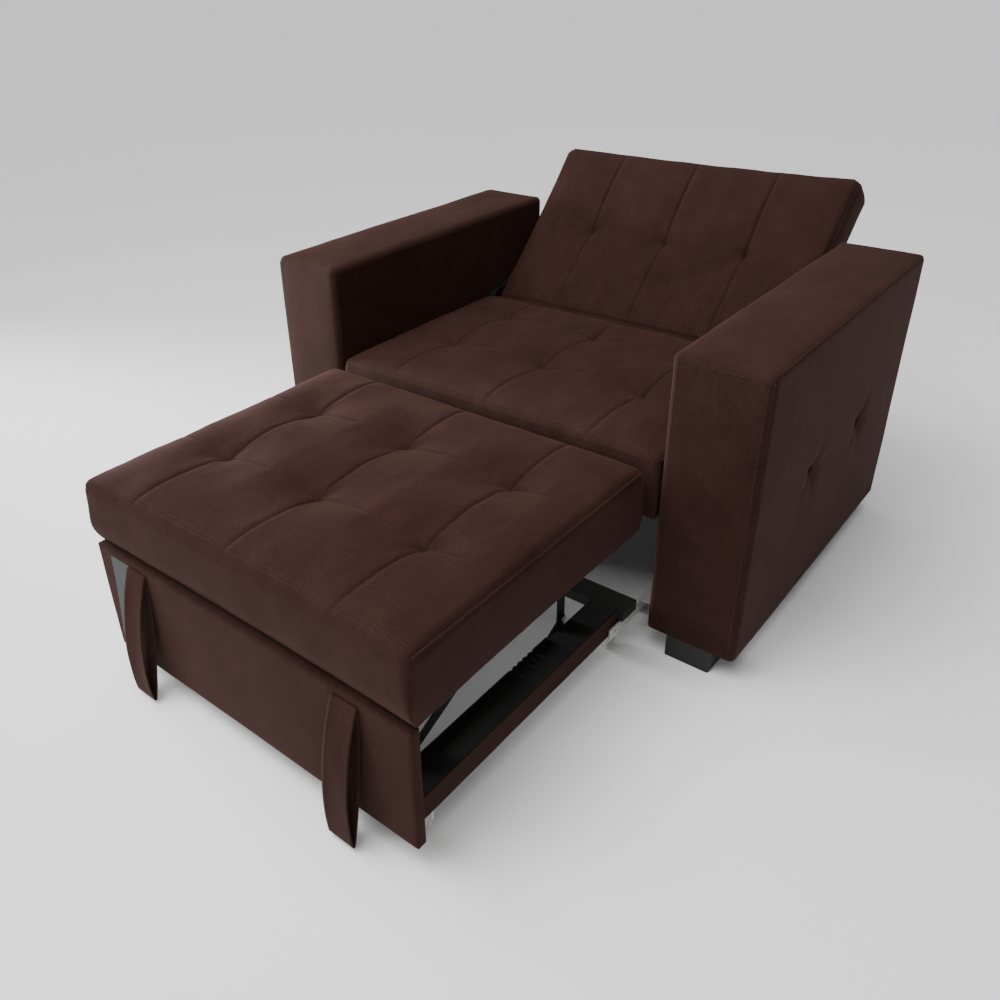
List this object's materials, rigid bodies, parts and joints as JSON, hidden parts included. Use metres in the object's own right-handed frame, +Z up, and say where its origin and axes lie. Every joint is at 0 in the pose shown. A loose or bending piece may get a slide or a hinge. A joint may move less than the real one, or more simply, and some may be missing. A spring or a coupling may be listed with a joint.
{
  "type": "convertible chair bed",
  "caption": "Armchair that opens into a single bed: a wheeled pull-out base with a pad on a lifting linkage, and a back rest that reclines flat between two box arms",
  "frame": {"origin": "On the floor, under the middle of the whole object's box in plan", "axes": "+Z up, +Y from the foot of the bed to the back rest and the bed's longest extent, +X from the arm on the viewer's left to the one on the right when facing it"},
  "size_m": [1.0744, 1.5418, 0.6759],
  "materials": {
    "upholstery": "brown suede-like pile fabric with a mottled nap",
    "black_cloth": "thin black non-woven cloth",
    "webbing": "woven jute webbing",
    "pine": "sawn pine",
    "black_timber": "timber stained black",
    "leg_black": "black moulded block",
    "black_steel": "black painted steel",
    "galvanised": "galvanised steel",
    "caster_fork": "zinc plated pressed steel",
    "caster_wheel": "pale moulded plastic",
    "card": "plain grey card"
  },
  "bodies": {
    "base": {"arm_cover_right": "upholstery", "arm_cover_left": "upholstery", "arm_frame_right": "pine", "arm_frame_left": "pine", "leg_front_right": "leg_black", "leg_front_left": "leg_black", "leg_rear_right": "leg_black", "leg_rear_left": "leg_black", "seat_support_right": "black_steel", "seat_support_left": "black_steel", "guide_track_right": "galvanised", "guide_track_left": "galvanised", "hinge_plate_fixed_right": "black_steel", "hinge_plate_fixed_left": "black_steel", "arm_buttons": "upholstery", "seat_cushion": "upholstery", "seat_frame": "pine", "seat_webbing": "webbing", "seat_dust_cloth": "black_cloth", "rear_panel": "upholstery"},
    "drawer": {"drawer_rail_right": "black_timber", "drawer_rail_left": "black_timber", "strap_right": "upholstery", "strap_left": "upholstery", "lift_rail_plate_right": "black_steel", "lift_rail_plate_left": "black_steel", "guide_bar_right": "galvanised", "guide_bar_left": "galvanised", "caster_fork_front_right": "caster_fork", "caster_fork_front_left": "caster_fork", "caster_fork_rear_right": "caster_fork", "caster_fork_rear_left": "caster_fork", "rear_cross_board": "black_timber", "front_cross_rail": "black_timber", "front_panel": "upholstery", "front_label": "card", "link_foot_pins": "galvanised"},
    "pad": {"pad_cushion": "upholstery", "pad_frame": "pine", "pad_webbing": "webbing", "pad_dust_cloth": "black_cloth", "pad_pivot_pins": "galvanised", "pad_bracket_right": "black_steel", "pad_bracket_left": "black_steel"},
    "back": {"back_cushion": "upholstery", "back_frame": "pine", "back_rear_cloth": "black_cloth", "hinge_plate_moving_right": "black_steel", "hinge_plate_moving_left": "black_steel"},
    "link_right": {"lift_link_right": "black_steel"},
    "prop_right": {"prop_right": "black_steel"},
    "brace_right": {"brace_right": "black_steel"},
    "wheel_front_right": {"caster_wheel_front_right": "caster_wheel"},
    "wheel_rear_right": {"caster_wheel_rear_right": "caster_wheel"},
    "link_left": {"lift_link_left": "black_steel"},
    "prop_left": {"prop_left": "black_steel"},
    "brace_left": {"brace_left": "black_steel"},
    "wheel_front_left": {"caster_wheel_front_left": "caster_wheel"},
    "wheel_rear_left": {"caster_wheel_rear_left": "caster_wheel"}
  },
  "joints": [
    {"name": "drawer_slide", "type": "slide", "parent": "base", "child": "drawer", "axis": [0, 1, 0], "range_m": [0, 0.02]},
    {"name": "back_recline", "type": "hinge", "parent": "base", "child": "back", "pos_m": [0, 0.41186, 0.368], "axis": [1, 0, 0], "range_deg": [-45.5, 32]},
    {"name": "pad_lift", "type": "hinge", "parent": "drawer", "child": "link_right", "pos_m": [0.276, -0.66614, 0.086], "axis": [-1, 0, 0], "range_deg": [0, 40]},
    {"name": "link_left_turn", "type": "hinge", "parent": "drawer", "child": "link_left", "pos_m": [-0.276, -0.66614, 0.086], "axis": [-1, 0, 0], "range_deg": [0, 40]},
    {"name": "pad_level", "type": "hinge", "parent": "link_right", "child": "pad", "pos_m": [0.276, -0.47373, 0.19266], "axis": [-1, 0, 0], "range_deg": [-40, 0]},
    {"name": "prop_right_fold", "type": "hinge", "parent": "pad", "child": "prop_right", "pos_m": [0.2795, -0.26815, 0.246], "axis": [-1, 0, 0], "range_deg": [0, 90]},
    {"name": "brace_right_fold", "type": "hinge", "parent": "prop_right", "child": "brace_right", "pos_m": [0.283, -0.26815, 0.112], "axis": [-1, 0, 0], "range_deg": [-80.52, 0]},
    {"name": "wheel_front_right_roll", "type": "hinge", "parent": "drawer", "child": "wheel_front_right", "pos_m": [0.315, -0.68515, 0.024], "axis": [1, 0, 0], "continuous": true},
    {"name": "wheel_rear_right_roll", "type": "hinge", "parent": "drawer", "child": "wheel_rear_right", "pos_m": [0.315, -0.16415, 0.024], "axis": [1, 0, 0], "continuous": true},
    {"name": "prop_left_fold", "type": "hinge", "parent": "pad", "child": "prop_left", "pos_m": [-0.2795, -0.26815, 0.246], "axis": [-1, 0, 0], "range_deg": [0, 90]},
    {"name": "brace_left_fold", "type": "hinge", "parent": "prop_left", "child": "brace_left", "pos_m": [-0.283, -0.26815, 0.112], "axis": [-1, 0, 0], "range_deg": [-80.52, 0]},
    {"name": "wheel_front_left_roll", "type": "hinge", "parent": "drawer", "child": "wheel_front_left", "pos_m": [-0.315, -0.68515, 0.024], "axis": [1, 0, 0], "continuous": true},
    {"name": "wheel_rear_left_roll", "type": "hinge", "parent": "drawer", "child": "wheel_rear_left", "pos_m": [-0.315, -0.16415, 0.024], "axis": [1, 0, 0], "continuous": true}
  ],
  "couplings": [
    {"joint": "link_left_turn", "follows": "pad_lift", "ratio": 1},
    {"joint": "pad_level", "follows": "pad_lift", "ratio": -1},
    {"joint": "prop_right_fold", "follows": "pad_lift", "ratio": 2.25},
    {"joint": "brace_right_fold", "follows": "pad_lift", "ratio": -2.0127},
    {"joint": "prop_left_fold", "follows": "pad_lift", "ratio": 2.25},
    {"joint": "brace_left_fold", "follows": "pad_lift", "ratio": -2.0127}
  ]
}
